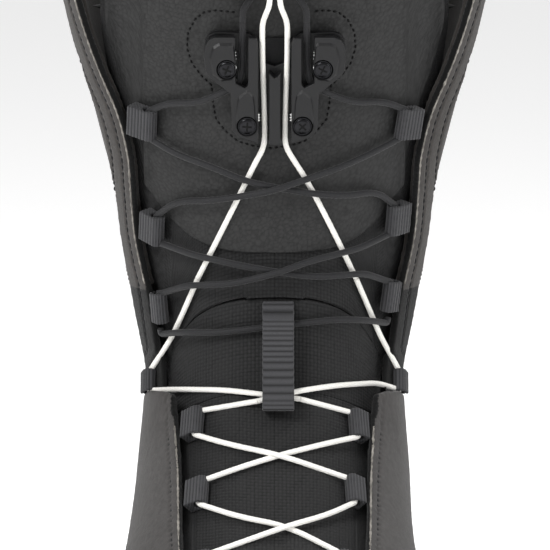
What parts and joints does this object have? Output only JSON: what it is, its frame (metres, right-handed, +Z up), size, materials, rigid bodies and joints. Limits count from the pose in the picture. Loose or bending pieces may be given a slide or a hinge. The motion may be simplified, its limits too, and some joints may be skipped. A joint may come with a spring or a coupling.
{
  "type": "snowboard boot",
  "caption": "Snowboard boot with two separately laced zones, a lace lock on the tongue, a flexing cuff, a removable padded liner and a lugged rubber sole.",
  "frame": {"origin": "centre of the boot's box on the ground, under the outsole lugs", "axes": "+Z up the leg, -Y towards the toe, +X towards the inner side of a right foot"},
  "size_m": [0.1382, 0.3047, 0.32],
  "materials": {
    "binding": "cotton-coloured edge binding",
    "black_lace": "tight braided cord, black",
    "board": "pressed fibre board",
    "counter_tpu": "moulded heel and toe rubber",
    "gel": "soft clear-grey cushion",
    "liner_foam": "brushed knit over moulded foam",
    "lock_plastic": "moulded nylon, semi-gloss edges",
    "mesh": "woven ballistic mesh, black",
    "midsole_foam": "closed-cell foam, dark grey, fine pebbled side",
    "screw_steel": "black oxide screws",
    "shank": "glass-filled nylon",
    "shell_leather": "matt nubuck-grain synthetic, warm dark grey",
    "smooth_leather": "pebble-grain synthetic leather, dark grey",
    "sole_rubber": "matt moulded outsole rubber",
    "steel": "plated steel",
    "webbing": "ribbed nylon webbing, dark grey",
    "white_lace": "tight braided cord, off-white"
  },
  "bodies": {
    "foot": {"outsole": "sole_rubber", "midsole": "midsole_foam", "heel_cushion": "gel", "shank_plate": "shank", "lasting_board": "board", "board_filler": "board", "quarter_medial": "shell_leather", "quarter_lateral": "shell_leather", "toe_box": "shell_leather", "toe_cap": "counter_tpu", "heel_counter": "counter_tpu", "eyestay_lower_left": "shell_leather", "eyestay_lower_right": "shell_leather", "flex_bands": "mesh", "flex_facings": "shell_leather", "tongue_lower": "mesh", "tongue_flex": "mesh", "tongue_keeper": "webbing", "lace_loops_lower": "webbing", "ankle_loops": "webbing", "toe_lace_guide": "webbing", "white_lace_foot": "white_lace", "white_lace_ankle": "white_lace", "black_lace_ankle": "black_lace", "liner_foot": "liner_foam", "liner_flex": "liner_foam", "footbed": "liner_foam"},
    "cuff": {"cuff_shell_left": "shell_leather", "cuff_shell_right": "shell_leather", "back_stay": "shell_leather", "eyestay_upper_left": "shell_leather", "eyestay_upper_right": "shell_leather", "collar_binding_left": "binding", "collar_binding_right": "binding", "tongue_upper": "mesh", "tongue_overlay": "smooth_leather", "lace_loops_upper": "webbing", "lock_pad": "sole_rubber", "lock_base": "lock_plastic", "lock_spine": "lock_plastic", "lock_cover_left": "lock_plastic", "lock_cover_right": "lock_plastic", "lock_screws": "screw_steel", "cam_springs": "steel", "handle_garage": "webbing", "black_lace_leg": "black_lace", "white_lace_leg": "white_lace", "black_pull_laces": "black_lace", "white_pull_laces": "white_lace", "rear_pull_loop": "webbing", "liner_cuff": "liner_foam", "liner_tongue": "liner_foam", "liner_pull_loop": "webbing"},
    "cam_upper_left": {"cam_upper_left": "steel"},
    "cam_upper_right": {"cam_upper_right": "steel"},
    "cam_lower_left": {"cam_lower_left": "steel"},
    "cam_lower_right": {"cam_lower_right": "steel"},
    "black_handle": {"pull_handle_black": "lock_plastic"},
    "white_handle": {"pull_handle_white": "lock_plastic"}
  },
  "joints": [
    {"name": "cuff_flex", "type": "hinge", "parent": "foot", "child": "cuff", "pos_m": [0, 0.07284, 0.112], "axis": [1, 0, 0], "range_deg": [-2, 15], "stiffness_Nm_per_rad": 18, "deforming": ["flex_bands", "flex_facings", "tongue_flex", "tongue_keeper", "ankle_loops", "white_lace_ankle", "black_lace_ankle", "liner_flex"]},
    {"name": "cam_upper_left_swing", "type": "hinge", "parent": "cuff", "child": "cam_upper_left", "pos_m": [-0.01489, -0.01286, 0.26303], "axis": [0, -0.9736, -0.2283], "range_deg": [0, 30], "stiffness_Nm_per_rad": 0.005},
    {"name": "cam_upper_right_swing", "type": "hinge", "parent": "cuff", "child": "cam_upper_right", "pos_m": [0.01511, -0.01286, 0.26303], "axis": [0, 0.9736, 0.2283], "range_deg": [0, 30], "stiffness_Nm_per_rad": 0.005},
    {"name": "cam_lower_left_swing", "type": "hinge", "parent": "cuff", "child": "cam_lower_left", "pos_m": [-0.00859, -0.00857, 0.24473], "axis": [0, -0.9736, -0.2283], "range_deg": [0, 30], "stiffness_Nm_per_rad": 0.005},
    {"name": "cam_lower_right_swing", "type": "hinge", "parent": "cuff", "child": "cam_lower_right", "pos_m": [0.00881, -0.00857, 0.24473], "axis": [0, 0.9736, 0.2283], "range_deg": [0, 30], "stiffness_Nm_per_rad": 0.005},
    {"name": "black_handle_pull", "type": "slide", "parent": "cuff", "child": "black_handle", "axis": [0, -0.2279, 0.9737], "range_m": [0, 0.06], "deforming": ["black_pull_laces"]},
    {"name": "white_handle_pull", "type": "slide", "parent": "cuff", "child": "white_handle", "axis": [0, -0.2279, 0.9737], "range_m": [0, 0.06], "deforming": ["white_pull_laces"]}
  ]
}
